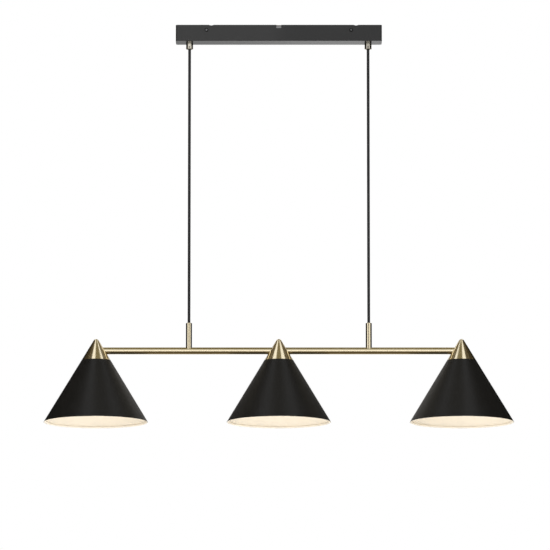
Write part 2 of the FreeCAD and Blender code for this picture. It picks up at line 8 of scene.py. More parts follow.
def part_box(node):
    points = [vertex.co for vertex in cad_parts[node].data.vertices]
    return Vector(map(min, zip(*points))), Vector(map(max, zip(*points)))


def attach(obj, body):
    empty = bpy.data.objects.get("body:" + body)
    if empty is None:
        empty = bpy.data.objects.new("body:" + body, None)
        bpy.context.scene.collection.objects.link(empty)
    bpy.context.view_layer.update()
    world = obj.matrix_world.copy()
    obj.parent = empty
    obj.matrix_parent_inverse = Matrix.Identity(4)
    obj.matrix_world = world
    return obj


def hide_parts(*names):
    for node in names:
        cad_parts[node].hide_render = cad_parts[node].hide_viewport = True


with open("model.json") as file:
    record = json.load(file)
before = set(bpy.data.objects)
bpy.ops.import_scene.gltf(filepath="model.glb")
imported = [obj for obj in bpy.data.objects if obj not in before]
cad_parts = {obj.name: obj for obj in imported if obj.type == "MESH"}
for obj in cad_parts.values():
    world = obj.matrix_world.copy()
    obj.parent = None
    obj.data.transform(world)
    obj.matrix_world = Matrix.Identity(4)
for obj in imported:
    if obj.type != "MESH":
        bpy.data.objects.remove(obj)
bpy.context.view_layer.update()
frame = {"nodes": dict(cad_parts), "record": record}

# Pendant lamp: the finish of every piece, the taut cables, screw threads and drives, light and
# camera. Metres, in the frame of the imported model: the origin is on the ceiling and the bar runs
# along X.

# The photograph: a long lens, a little below the lamp's middle
IMAGE_WIDTH = 550
PHOTO_SCALE = 0.002139
FOCAL_PIXELS = 5500
CAMERA_TILT = math.radians(8.4)
AIM_HEIGHT = -0.54017
LAMP_COLUMN = 278.85
SENSOR_WIDTH = 36.0
VIEW_END = 100.0

# Floor
FLOOR_HEIGHT = -2.6
FLOOR_SIZE = 80.0
FLOOR_GLOW_NEAR = 0.35
FLOOR_FADE_START = 3.0
FLOOR_FADE_END = 12.0

# Studio cards, which only reflections see: a roof, side walls, a card below, a back wall with a
# window, cards behind the window, a strip in front of the stems, a far bright card in front of
# the bar and a flag in front of the canopy
CARD_TOP = 1.2
CARD_LOW = FLOOR_HEIGHT + 0.02
CARD_BACK = 2.0
CARD_FRONT = -2.4
CARD_GAP = 0.01
CARD_SIDE = 3.2
SIDE_FRONT = -1.9
BELOW_FRONT = -7.5
BELOW_MIDDLE = -0.2
ROOF_MIDDLE = 0.53
ROOF_SKYLIGHT = 1.2
ROOF_EDGE = 1.9
SKYLIGHT_BACK = 0.05
BACK_SKYLIGHT = 1.05
BACK_SKYLIGHT_FRONT = 0.55
ROOF_BACK = 1.75
WINDOW_HALF_WIDTH = 0.45
WINDOW_HIGH = -0.05
WALL_FOOT = (0.5, -0.4)
WALL_WAIST = (1.7, 0.9)
WALL_HEAD = (1.95, CARD_TOP)
GLOW_BACK = 5.0
GLOW_HALF_WIDTH = 0.9
GLOW_LOW = -2.3
GLOW_HIGH = -0.25
GLOW_LEFT_STRENGTH = 0.62
GLOW_RIGHT_STRENGTH = 1.0
FAR_WALL_TOP = 2.4
STRIP_HALF_LENGTH = 0.8
STRIP_LOW = -0.55
STRIP_HIGH = -0.17
BAR_GLOW_HIGH = -0.35
BAR_GLOW_STRENGTH = 1.8
FLAG_RIGHT = 0.32
FLAG_FRONT = -0.16
FLAG_LOW = -0.07
FLAG_HIGH = 0.12
FLAG_TONE = 0.65

# Light on the lamp: place, size and power of each softbox, and the white world
KEY_LIGHT = ((-2.0, -4.6, 0.9), 2.4, 125.0)
FILL_LIGHT = ((2.6, -4.4, 0.2), 2.4, 50.0)
LOW_LIGHT = ((0.0, 0.0, CARD_LOW), 3.0, 42.0)
WORLD_LIGHT = 0.45
WORLD_SEEN = 1.0

# Shades: half the thickness of their sheet
HALF_SHEET = 0.0005

# Cables: straight from the mouths of the grips to the mouths of the stems
CABLE_DIAMETER = 0.006
CABLE_BRAID_STRANDS = 12
CABLE_BRAID_PITCH = 0.0125
CABLE_ROUND_STEPS = 8
CABLE_LENGTH_STEPS = 24
SLEEVE_RADIUS = 0.00295
SLEEVE_RELIEF = 0.00005
SLEEVE_RINGS = 17

# Screws, by ISO sizes. The depth of a V thread is a share of its pitch.
VEE_DEPTH = 0.61
VEE_STEPS = 6
HEAD_STEPS = 6
SIDE_SCREW_RADIUS = 0.002
SIDE_SCREW_PITCH = 0.0007
SIDE_SCREW_LENGTH = 0.008
SIDE_HEAD_RADIUS = 0.0039
SIDE_HEAD_HEIGHT = 0.0022
SIDE_HEAD_ROUNDING = 0.0018
EARTH_HEAD_RADIUS = 0.0036
EARTH_HEAD_HEIGHT = 0.0024
EARTH_HEAD_ROUNDING = 0.0014
EARTH_SCREW_LENGTH = 0.002
CROSS_REACH = 0.0019
CROSS_DEPTH = 0.0013
CROSS_TAPER = 0.55
CROSS_HALF_ANGLE = math.radians(15)
CROSS_TURN = 0.4
GRUB_RADIUS = 0.0015
GRUB_PITCH = 0.0005
GRUB_DOG_RADIUS = 0.0008
GRUB_DOG_LENGTH = 0.0009
GRUB_SOCKET_FLATS = 0.0013
GRUB_SOCKET_DEPTH = 0.0014

# Nipples and the bulbs' screw caps
NIPPLE_PITCH = 0.001
NIPPLE_BORE = 0.0036
EDISON_PITCH = 0.00362
EDISON_DEPTH = 0.001
EDISON_STEPS = 10
SHELL_WALL_RADIUS = 0.0116
SHELL_LIP_RADIUS = 0.0105
SHELL_LIP_RISE = 0.0004
SHELL_LIP_INSET = 0.0004
SHOULDER_DROP = 0.003
SHOULDER_WALL = 0.001
TIP_RADIUS = 0.0045
TIP_HEIGHT = 0.0012
TIP_TAPER = 0.8
INSULATOR_RADIUS = 1.25 * TIP_RADIUS
SKIRT_HEIGHT = 0.002

# Bulbs: how strongly the globe glows at its foot and at its neck
GLOBE_GLOW_FOOT = 3.5
GLOBE_GLOW_NECK = 1.1

# Leads with two colours: how far their stripes slant, and how close they are
STRIPE_SLANT = 3.0
STRIPE_RATE = 900.0

# Steps round every turned piece, and the angle from which an edge is sharp
SEGMENTS = 48
SHARP_ANGLE = math.radians(35)

# The range that most of a noise pattern keeps to
NOISE_LOW = 0.3
NOISE_HIGH = 0.7

slot_of = {part["node"]: part["material_slot"] for part in frame["record"]["subparts"]}
bodies = frame["record"]["behaviour"]["bodies"]
body_of = {node: body for body, nodes in bodies.items() for node in nodes}


def middle(node):
    low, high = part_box(node)
    return (low + high) / 2


cable_xs = {side: middle(f"{side}_cable").x for side in ("left", "right")}
cable_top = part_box("left_cable")[1].z
cable_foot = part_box("left_cable")[0].z
heads = ("left", "middle", "right")


class Surface:
    """One material. Its nodes are added one at a time."""

    def __init__(self, name):
        self.material = bpy.data.materials.new(name)
        self.material.use_nodes = True
        self.nodes = self.material.node_tree.nodes
        self.links = self.material.node_tree.links
        self.shader = self.nodes["Principled BSDF"]
        self.place = self.nodes.new("ShaderNodeTexCoord").outputs["Object"]

    def plug(self, socket, value):
        if isinstance(value, bpy.types.NodeSocket):
            self.links.new(value, socket)
        else:
            socket.default_value = value

    def add(self, kind, sockets, output=0, **settings):
        """A new node. Sockets are given by name or number, as a value or another node's output."""
        node = self.nodes.new(kind)
        for name, value in settings.items():
            setattr(node, name, value)
        for name, value in sockets.items():
            self.plug(node.inputs[name], value)
        return node.outputs[output]

    def set(self, **sockets):
        for name, value in sockets.items():
            self.plug(self.shader.inputs[name.replace("_", " ")], value)

    def maths(self, operation, first, second=0.0):
        return self.add("ShaderNodeMath", {0: first, 1: second}, operation=operation)

    def stretched(self, x, y, z):
        return self.add("ShaderNodeMapping", {"Vector": self.place, "Scale": (x, y, z)})

    def noise(self, scale, detail=2.0, where=None):
        sockets = {"Vector": where or self.place, "Scale": scale, "Detail": detail}
        return self.add("ShaderNodeTexNoise", sockets)

    def spread(self, value, low, high, out_low, out_high):
        """Maps a value's range to another, clamped."""
        ends = {"From Min": low, "From Max": high, "To Min": out_low, "To Max": out_high}
        return self.add("ShaderNodeMapRange", {"Value": value, **ends})

    def wavering(self, pattern, low, high):
        """A value that varies between low and high with a noise pattern."""
        return self.spread(pattern, NOISE_LOW, NOISE_HIGH, low, high)

    def mix(self, share, first, second):
        node = self.nodes.new("ShaderNodeMix")
        node.data_type = "RGBA"
        self.plug(node.inputs[0], share)
        self.plug(node.inputs[6], (*first, 1.0) if isinstance(first, tuple) else first)
        self.plug(node.inputs[7], (*second, 1.0) if isinstance(second, tuple) else second)
        return node.outputs[2]

    def bump(self, height, depth, strength=1.0):
        sockets = {"Height": height, "Distance": depth, "Strength": strength}
        return self.add("ShaderNodeBump", sockets)

    def varied(self, colour, amount, pattern):
        """A colour that varies with a noise pattern."""
        darker = tuple(c * (1 - amount) for c in colour)
        lighter = tuple(min(1.0, c * (1 + amount)) for c in colour)
        return self.mix(self.wavering(pattern, 0.0, 1.0), darker, lighter)

    def mottled(self, colour, amount, scale=12.0):
        """A colour that varies a little over the surface."""
        return self.varied(colour, amount, self.noise(scale, 3.0))

    def parted(self):
        """The separate X, Y and Z of the place on the object."""
        node = self.nodes.new("ShaderNodeSeparateXYZ")
        self.plug(node.inputs[0], self.place)
        return node.outputs[0], node.outputs[1], node.outputs[2]


def powder_coat(name, colour, roughness, peel=0.00003):
    """Baked paint with a fine orange peel."""
    s = Surface(name)
    grain = s.noise(1400.0, 1.0)
    s.set(Base_Color=s.mottled(colour, 0.05), Specular_IOR_Level=0.46)
    s.set(Roughness=s.wavering(s.noise(300.0), roughness - 0.02, roughness + 0.02))
    s.set(Normal=s.bump(grain, peel, 0.6))
    return s.material


def shade_paint():
    """Satin black outside and warm white inside, under a thin clear coat. The two colours meet
    in the middle of the sheet."""
    s = Surface("shade_paint")
    x, y, z = s.parted()
    low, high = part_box("middle_shade")
    _, cap_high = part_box("middle_cap")
    slope = (high.x - cap_high.x) / (high.z - low.z)
    from_axis = s.maths("PINGPONG", x, middle("right_shade").x / 2)
    squares = s.maths("ADD", s.maths("MULTIPLY", from_axis, from_axis), s.maths("MULTIPLY", y, y))
    edge = s.maths("MULTIPLY", s.maths("SUBTRACT", low.z, z), slope)
    depth = s.maths("SUBTRACT", s.maths("ADD", edge, high.x - HALF_SHEET), s.maths("SQRT", squares))
    skin_side = s.maths("LESS_THAN", depth, 0.0)
    top_side = s.maths("GREATER_THAN", z, high.z - HALF_SHEET)
    outside = s.maths("MAXIMUM", skin_side, top_side)
    black = s.mottled((0.0055, 0.0053, 0.0052), 0.12, 30.0)
    white = s.mottled((0.86, 0.79, 0.67), 0.015, 25.0)
    s.set(Base_Color=s.mix(outside, white, black), Specular_IOR_Level=0.28)
    s.set(Coat_Weight=0.2, Coat_Roughness=0.3)
    fine = s.wavering(s.noise(120.0), -0.03, 0.03)
    s.set(Roughness=s.maths("ADD", s.spread(outside, 0.0, 1.0, 0.55, 0.48), fine))
    s.set(Normal=s.bump(s.noise(1100.0, 1.0), 0.00003, 0.6))
    return s.material


def metal(
    name, colour, roughness, lines=(60.0, 60.0, 60.0), depth=0.00001, streaks=None, amount=0.02
):
    """Plain or brushed metal. The lines run along the axis with the lowest number."""
    s = Surface(name)
    brushed = s.noise(1.0, 4.0, s.stretched(*lines))
    pattern = s.noise(1.0, 3.0, s.stretched(*streaks)) if streaks else s.noise(12.0, 3.0)
    s.set(Base_Color=s.varied(colour, amount, pattern), Metallic=1.0)
    s.set(Roughness=s.wavering(brushed, roughness - 0.03, roughness + 0.05))
    s.set(Normal=s.bump(brushed, depth, 0.5))
    return s.material


def plastic(name, colour, roughness=0.4, amount=0.03):
    s = Surface(name)
    s.set(Base_Color=s.mottled(colour, amount, 150.0))
    s.set(Roughness=s.wavering(s.noise(300.0), roughness - 0.05, roughness + 0.05))
    s.set(Normal=s.bump(s.noise(2500.0, 1.0), 0.00001, 0.5))
    return s.material


def braid():
    """Black textile braid round a straight cable, as crossing bands, with painted shade: darker in
    the dips of the weave and lighter on its crests.
    """
    s = Surface("cable_braid")
    x, y, z = s.parted()
    across = s.maths("SUBTRACT", s.maths("ABSOLUTE", x), abs(cable_xs["left"]))
    turn = s.maths("MULTIPLY", s.maths("ARCTAN2", y, across), CABLE_BRAID_STRANDS / 2)
    rise = s.maths("MULTIPLY", z, math.pi * CABLE_BRAID_STRANDS / CABLE_BRAID_PITCH)
    over = s.maths("SINE", s.maths("ADD", turn, rise))
    under = s.maths("SINE", s.maths("SUBTRACT", turn, rise))
    bands = s.maths("MULTIPLY", over, under)
    height = s.maths("ADD", bands, s.noise(6000.0, 1.0))
    # Painted shade: the colour follows the weave's height, darker where the bands dip and lighter
    # where they rise.
    painted_weave_shade = s.spread(bands, -1.0, 1.0, 0.0, 1.0)
    s.set(Base_Color=s.mix(painted_weave_shade, (0.012, 0.012, 0.012), (0.026, 0.026, 0.027)))
    s.set(Roughness=0.75, Specular_IOR_Level=0.3, Sheen_Weight=0.05, Sheen_Roughness=0.4)
    s.set(Normal=s.bump(height, 0.00003, 0.4))
    return s.material


def blackened_steel():
    """Black screws on the canopy's long sides, with a painted highlight: lighter metal within the
    reach of their crosses.
    """
    s = Surface("blackened_steel")
    x, _, z = s.parted()
    centre = middle("canopy_screws")
    head_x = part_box("canopy_screws")[1].x - SIDE_HEAD_RADIUS
    across = s.maths("SUBTRACT", s.maths("ABSOLUTE", x), head_x)
    up = s.maths("SUBTRACT", z, centre.z)
    squares = s.maths("ADD", s.maths("MULTIPLY", across, across), s.maths("MULTIPLY", up, up))
    # Painted highlight: light metal inside the cross's reach, dark steel outside it.
    outside_painted_glint = s.spread(s.maths("SQRT", squares), CROSS_REACH * 0.9, CROSS_REACH * 1.1, 0.0, 1.0)
    s.set(Base_Color=s.mix(outside_painted_glint, (0.26, 0.26, 0.27), (0.03, 0.03, 0.032)), Metallic=1.0)
    s.set(Roughness=s.wavering(s.noise(900.0), 0.22, 0.30))
    s.set(Normal=s.bump(s.noise(3000.0, 1.0), 0.00001, 0.4))
    return s.material


def opal_glass():
    """Opal globe that glows warm, less towards its neck."""
    s = Surface("bulb_opal")
    _, _, z = s.parted()
    low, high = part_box("middle_bulb_glass")
    s.set(Base_Color=s.mottled((0.95, 0.90, 0.80), 0.01, 60.0), Roughness=0.25)
    s.set(Emission_Color=(1.0, 0.80, 0.54, 1.0))
    s.set(Emission_Strength=s.spread(z, low.z, high.z, GLOBE_GLOW_FOOT, GLOBE_GLOW_NECK))
    return s.material


def striped_plastic(name, first, second, roughness):
    """Smooth insulation with slanting stripes of a second colour."""
    s = Surface(name)
    x, y, _ = s.parted()
    slant = s.maths("ADD", x, s.maths("MULTIPLY", y, STRIPE_SLANT))
    waves = s.maths("SINE", s.maths("MULTIPLY", slant, STRIPE_RATE))
    stripes = s.spread(waves, 0.2, 0.3, 0.0, 1.0)
    s.set(Base_Color=s.mix(stripes, first, second), Roughness=roughness)
    s.set(Normal=s.bump(s.noise(2500.0, 1.0), 0.00001, 0.4))
    return s.material


ACROSS_Z = (40.0, 40.0, 4000.0)
ALONG_X = (40.0, 4000.0, 4000.0)
ALONG_Z = (4000.0, 4000.0, 40.0)
STREAKS_Z = (500.0, 500.0, 3.0)
HAIRLINE = 0.000003

slot_materials = {
    "dark_steel": powder_coat("dark_steel", (0.0135, 0.0136, 0.0139), 0.30),
    "shade_paint": shade_paint(),
    "satin_brass": metal("satin_brass", (0.95, 0.84, 0.60), 0.14, ACROSS_Z, HAIRLINE),
    "pale_brass": metal(
        "pale_brass", (0.74, 0.715, 0.635), 0.13, ALONG_Z, HAIRLINE, STREAKS_Z, 0.12
    ),
    "zinc_steel": metal("zinc_steel", (0.62, 0.63, 0.65), 0.32),
    "screw_steel": metal("screw_steel", (0.17, 0.17, 0.175), 0.24),
    "cable_sheath": braid(),
    "copper_core": metal("copper_core", (0.72, 0.42, 0.27), 0.35),
    "terminal_white": plastic("terminal_white", (0.80, 0.80, 0.76), 0.35),
    "lead_brown": plastic("lead_brown", (0.19, 0.07, 0.03), 0.3),
    "lead_blue": plastic("lead_blue", (0.03, 0.12, 0.45), 0.3),
    "lead_green": striped_plastic("lead_green", (0.05, 0.32, 0.06), (0.80, 0.62, 0.04), 0.3),
    "holder_black": plastic("holder_black", (0.02, 0.02, 0.02), 0.35),
    "holder_ceramic": plastic("holder_ceramic", (0.80, 0.78, 0.72), 0.5),
    "bulb_cap_metal": metal("bulb_cap_metal", (0.78, 0.78, 0.77), 0.25),
    "bulb_opal": opal_glass(),
}
own_materials = {
    "bar": metal("bar_brass", (0.95, 0.84, 0.60), 0.09, ALONG_X, HAIRLINE),
    "left_cord_grip": metal("grip_brass", (0.62, 0.58, 0.49), 0.16, ACROSS_Z, HAIRLINE),
    # The bracket's zinc steel is darker than the other zinc pieces: partly a duller galvanised
    # finish, partly painted shade for the bracket where it sits recessed behind the canopy's notch.
    "ceiling_bracket": metal("bracket_zinc_painted_shade", (0.30, 0.30, 0.31), 0.40),
}
own_materials["right_cord_grip"] = own_materials["left_cord_grip"]
own_materials["canopy_screws"] = blackened_steel()
for tail in ("left_cable_tail", "right_cable_tail", "left_stem_tail", "right_stem_tail"):
    own_materials[tail] = plastic(tail, (0.015, 0.015, 0.015), 0.6)


def dress(node, material):
    """Gives a carried-over piece its material."""
    slots = frame["nodes"][node].material_slots
    for slot in slots:
        slot.material = material
    if not slots:
        frame["nodes"][node].data.materials.append(material)


for node, slot in slot_of.items():
    dress(node, own_materials.get(node, slot_materials[slot]))


def circle(radius, height):
    """One ring round the Z axis. The radius is a length, or a function of the angle."""
    outside_painted_glint = []
    for n in range(SEGMENTS):
        angle = 2 * math.pi * n / SEGMENTS
        reach = radius(angle) if callable(radius) else radius
        outside_painted_glint.append((reach * math.cos(angle), reach * math.sin(angle), height))
    return outside_painted_glint


def skin(rings, at, loop=False):
    """A closed shell over rings: capped at both ends, or joined round to its start."""
    verts = [at @ Vector(v) for outside_painted_glint in rings for v in outside_painted_glint]
    pairs = [(n, n + 1) for n in range(len(rings) - 1)]
    last = len(rings) - 1
    if loop:
        pairs.append((last, 0))
    faces = []
    for low, high in pairs:
        first, second = low * SEGMENTS, high * SEGMENTS
        for n in range(SEGMENTS):
            m = (n + 1) % SEGMENTS
            faces.append((first + n, first + m, second + m, second + n))
    if not loop:
        faces.append(tuple(range(SEGMENTS)))
        faces.append(tuple(last * SEGMENTS + n for n in range(SEGMENTS)))
    return verts, faces


def mesh_piece(name, shells, node, slot=None):
    """A piece of closed shells that stands for a CAD node, on its body and, by default, in its
    slot."""
    verts, faces = [], []
    for shell_verts, shell_faces in shells:
        start = len(verts)
        verts += shell_verts
        faces += [tuple(start + n for n in face) for face in shell_faces]
    mesh = bpy.data.meshes.new(name)
    mesh.from_pydata(verts, [], faces)
    shape = bmesh.new()
    shape.from_mesh(mesh)
    bmesh.ops.recalc_face_normals(shape, faces=shape.faces)
    shape.to_mesh(mesh)
    shape.free()
    mesh.shade_smooth()
    mesh.set_sharp_from_angle(angle=SHARP_ANGLE)
    slot = slot or slot_of[node]
    mesh.materials.append(own_materials.get(node, slot_materials[slot]))
    piece = bpy.data.objects.new(name, mesh)
    bpy.context.scene.collection.objects.link(piece)
    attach(piece, body_of[node])
    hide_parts(node)
    return piece


def vee(turn):
    """Height of a V thread at a number of turns: 1 at the crest and 0 at the root."""
    return abs(2 * (turn % 1.0) - 1)


def knuckle(turn):
    """Height of a rounded thread, as on a bulb's cap."""
    return 0.5 + 0.5 * math.cos(2 * math.pi * turn)


def thread(wave, radius, depth, pitch, low, high, steps=VEE_STEPS):
    """Rings of a thread from low to high. It runs out to its root over one pitch at each end."""
    count = round((high - low) / pitch * steps)
    rings = []
    for n in range(count + 1):
        height = low + (high - low) * n / count
        fade = min(1.0, (height - low) / pitch, (high - height) / pitch)

        def reach(angle):
            crest = wave(height / pitch - angle / (2 * math.pi))
            return radius - depth * (1 - fade * crest)

        rings.append(circle(reach, height))
    return rings


def cross(reach):
    """Outline of a cross recess with four straight arms."""
    half_width = reach * math.tan(CROSS_HALF_ANGLE)

    def outline(angle):
        off_arm = (angle + math.pi / 4) % (math.pi / 2) - math.pi / 4
        side = half_width / max(abs(math.sin(off_arm)), 1e-6)
        return min(reach / math.cos(off_arm), side)

    return outline


def hexagon(flats):
    """Outline of a hexagon socket."""

    def outline(angle):
        return flats / 2 / math.cos(angle % (math.pi / 3) - math.pi / 6)

    return outline


def pan_screw(radius, length, head, height, rounding):
    """Rings of a pan-head screw with a cross recess, with its head above Z = 0 and its shank
    below."""
    depth = VEE_DEPTH * SIDE_SCREW_PITCH
    rings = thread(vee, radius, depth, SIDE_SCREW_PITCH, -length, 0.0)
    rings.append(circle(head, 0.0))
    for n in range(HEAD_STEPS + 1):
        turn = math.pi / 2 * n / HEAD_STEPS
        out = head - rounding * (1 - math.cos(turn))
        rings.append(circle(out, height - rounding * (1 - math.sin(turn))))
    rings.append(circle(cross(CROSS_REACH), height))
    rings.append(circle(cross(CROSS_REACH * CROSS_TAPER), height - CROSS_DEPTH))
    return rings


def canopy_screws():
    """The four screws in the canopy's long sides."""
    low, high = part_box("canopy_screws")
    x = high.x - SIDE_HEAD_RADIUS
    face = high.y - SIDE_HEAD_HEIGHT
    z = (low.z + high.z) / 2
    head = (SIDE_HEAD_RADIUS, SIDE_HEAD_HEIGHT, SIDE_HEAD_ROUNDING)
    rings = pan_screw(SIDE_SCREW_RADIUS, SIDE_SCREW_LENGTH, *head)
    shells = []
    for side in (-1, 1):
        for front in (-1, 1):
            spin = Matrix.Rotation(CROSS_TURN * side, 4, "Z")
            turn = Matrix.Rotation(-front * math.pi / 2, 4, "X") @ spin
            shells.append(skin(rings, Matrix.Translation((side * x, front * face, z)) @ turn))
    mesh_piece("canopy_pan_screws", shells, "canopy_screws")


def earth_screws():
    """The two screws under the bracket that hold the earth leads."""
    low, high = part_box("earth_screws")
    x, y = high.x - EARTH_HEAD_RADIUS, high.y - EARTH_HEAD_RADIUS
    head = (EARTH_HEAD_RADIUS, EARTH_HEAD_HEIGHT, EARTH_HEAD_ROUNDING)
    rings = pan_screw(SIDE_SCREW_RADIUS, EARTH_SCREW_LENGTH, *head)
    shells = []
    for side in (-1, 1):
        turn = Matrix.Rotation(math.pi, 4, "X")
        place = Matrix.Translation((side * x, side * y, low.z + EARTH_HEAD_HEIGHT))
        shells.append(skin(rings, place @ turn))
    mesh_piece("earth_pan_screws", shells, "earth_screws")


def grub_screws():
    """Grub screws with hexagon sockets, which clamp the cables in their grips."""
    low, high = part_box("grip_grub_screws")
    z = (low.z + high.z) / 2
    length = high.y - low.y - GRUB_DOG_LENGTH
    rings = [circle(GRUB_DOG_RADIUS, -length - GRUB_DOG_LENGTH), circle(GRUB_DOG_RADIUS, -length)]
    rings += thread(vee, GRUB_RADIUS, VEE_DEPTH * GRUB_PITCH, GRUB_PITCH, -length, 0.0)
    rings.append(circle(hexagon(GRUB_SOCKET_FLATS), 0.0))
    rings.append(circle(hexagon(GRUB_SOCKET_FLATS), -GRUB_SOCKET_DEPTH))
    turn = Matrix.Rotation(math.pi / 2, 4, "X")
    shells = [skin(rings, Matrix.Translation((x, low.y, z)) @ turn) for x in cable_xs.values()]
    mesh_piece("hexagon_grub_screws", shells, "grip_grub_screws")


def nipple(head):
    """The hollow threaded tube through one head."""
    node = f"{head}_nipple"
    low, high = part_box(node)
    radius = (high.x - low.x) / 2
    rings = thread(vee, radius, VEE_DEPTH * NIPPLE_PITCH, NIPPLE_PITCH, low.z, high.z)
    rings += [circle(NIPPLE_BORE, high.z), circle(NIPPLE_BORE, low.z)]
    at = Matrix.Translation((middle(node).x, 0.0, 0.0))
    mesh_piece(f"{head}_threaded_nipple", [skin(rings, at, loop=True)], node)


def bulb_cap(head):
    """The bulb's screw shell and its tip contact."""
    node = f"{head}_bulb_cap"
    low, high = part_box(node)
    radius = (high.x - low.x) / 2
    shoulder = high.z - SHOULDER_DROP
    root = radius - EDISON_DEPTH
    lip = shoulder + SHELL_LIP_RISE
    shell = [circle(SHELL_LIP_RADIUS, lip), circle(root - SHELL_LIP_INSET, lip)]
    span = (low.z + SKIRT_HEIGHT, shoulder)
    shell += reversed(thread(knuckle, radius, EDISON_DEPTH, EDISON_PITCH, *span, EDISON_STEPS))
    shell += [circle(radius, low.z + SKIRT_HEIGHT / 2), circle(radius, low.z)]
    inner_top = shoulder - SHOULDER_WALL
    shell += [circle(SHELL_WALL_RADIUS, low.z), circle(SHELL_WALL_RADIUS, inner_top)]
    shell.append(circle(SHELL_LIP_RADIUS, inner_top))
    tip = [circle(TIP_RADIUS, high.z - TIP_HEIGHT), circle(TIP_RADIUS, high.z - TIP_HEIGHT / 2)]
    tip.append(circle(TIP_RADIUS * TIP_TAPER, high.z))
    at = Matrix.Translation((middle(node).x, 0.0, 0.0))
    mesh_piece(f"{head}_bulb_shell", [skin(shell, at, loop=True), skin(tip, at)], node)
    glass = [
        circle(TIP_RADIUS, high.z - TIP_HEIGHT),
        circle(INSULATOR_RADIUS, high.z - TIP_HEIGHT),
        circle(SHELL_LIP_RADIUS, lip),
        circle(SHELL_LIP_RADIUS, inner_top),
        circle(TIP_RADIUS, inner_top),
    ]
    mesh_piece(f"{head}_bulb_insulator", [skin(glass, at, loop=True)], node, "holder_black")


def sleeve(side, end):
    """The braid where a cable bends, as a ball about the point that it bends at."""
    node = f"{side}_cable_{end}"
    rings = []
    for n in range(1, SLEEVE_RINGS):
        down = math.pi * n / SLEEVE_RINGS
        sign = (-1) ** n

        def reach(angle):
            relief = sign * SLEEVE_RELIEF * math.sin(CABLE_BRAID_STRANDS * angle)
            return (SLEEVE_RADIUS + relief) * math.sin(down)

        rings.append(circle(reach, SLEEVE_RADIUS * math.cos(down)))
    ball = skin(rings, Matrix.Translation(middle(node)))
    return mesh_piece(f"{side}_{end}_sleeve", [ball], node, "cable_sheath")


def cable(side):
    """A taut cable, straight down from its grip into its stem."""
    x = cable_xs[side]
    line = bpy.data.curves.new(f"{side}_taut_cable", "CURVE")
    line.dimensions = "3D"
    line.bevel_depth = CABLE_DIAMETER / 2
    line.bevel_resolution = CABLE_ROUND_STEPS
    line.resolution_u = CABLE_LENGTH_STEPS
    line.use_fill_caps = True
    spline = line.splines.new("NURBS")
    heights = (cable_top, (cable_top + cable_foot) / 2, cable_foot)
    spline.points.add(len(heights) - 1)
    for spot, height in zip(spline.points, heights):
        spot.co = (x, 0.0, height, 1.0)
    spline.order_u = 3
    spline.use_endpoint_u = True
    cord = bpy.data.objects.new(f"{side}_taut_cable", line)
    bpy.context.scene.collection.objects.link(cord)
    line.materials.append(slot_materials["cable_sheath"])
    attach(cord, f"{side}_cable")
    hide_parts(f"{side}_cable")
    sleeve(side, "neck")
    sleeve(side, "foot")


def sheet_object(name, corners, material):
    """A flat stage piece through four corners."""
    mesh = bpy.data.meshes.new(name)
    mesh.from_pydata(corners, [], [(0, 1, 2, 3)])
    mesh.materials.append(material)
    thing = bpy.data.objects.new(name, mesh)
    bpy.context.scene.collection.objects.link(thing)
    return thing


def floor_material():
    """Pale floor that keeps shadows, fades to white far away and doesn't show from underneath."""
    s = Surface("pale_floor")
    s.set(Base_Color=s.mottled((0.86, 0.86, 0.855), 0.01, 1.5))
    s.set(Roughness=0.9, Specular_IOR_Level=0.1)
    away = s.add("ShaderNodeVectorMath", {0: s.place}, "Value", operation="LENGTH")
    glow = s.spread(away, FLOOR_FADE_START, FLOOR_FADE_END, FLOOR_GLOW_NEAR, 1.0)
    camera_ray = s.add("ShaderNodeLightPath", {}, "Is Camera Ray")
    seen = s.maths("MAXIMUM", camera_ray, s.add("ShaderNodeLightPath", {}, "Is Glossy Ray"))
    s.set(Emission_Color=(1.0, 1.0, 1.0, 1.0), Emission_Strength=s.maths("MULTIPLY", glow, seen))
    clear = s.add("ShaderNodeBsdfTransparent", {})
    behind = s.add("ShaderNodeNewGeometry", {}, "Backfacing")
    both = s.add("ShaderNodeMixShader", {0: behind, 1: s.shader.outputs[0], 2: clear})
    s.plug(s.nodes["Material Output"].inputs["Surface"], both)
    return s.material


def card_material(name, colour, strength=1.0):
    """A studio card, as it shows in metal and paint."""
    s = Surface(name)
    glow = s.add("ShaderNodeEmission", {"Color": (*colour, 1.0), "Strength": strength})
    s.plug(s.nodes["Material Output"].inputs["Surface"], glow)
    return s.material


def card(name, corners, material):
    thing = sheet_object(name, corners, material)
    thing.visible_camera = False
    thing.visible_diffuse = False
    thing.visible_shadow = False
    thing.visible_transmission = False


def level_card(name, left, right, near, far, height, material):
    outline = ((left, near), (right, near), (right, far), (left, far))
    card(name, [(x, y, height) for x, y in outline], material)


def upright_card(name, left, right, y, low, high, material):
    card(name, [(left, y, low), (right, y, low), (right, y, high), (left, y, high)], material)


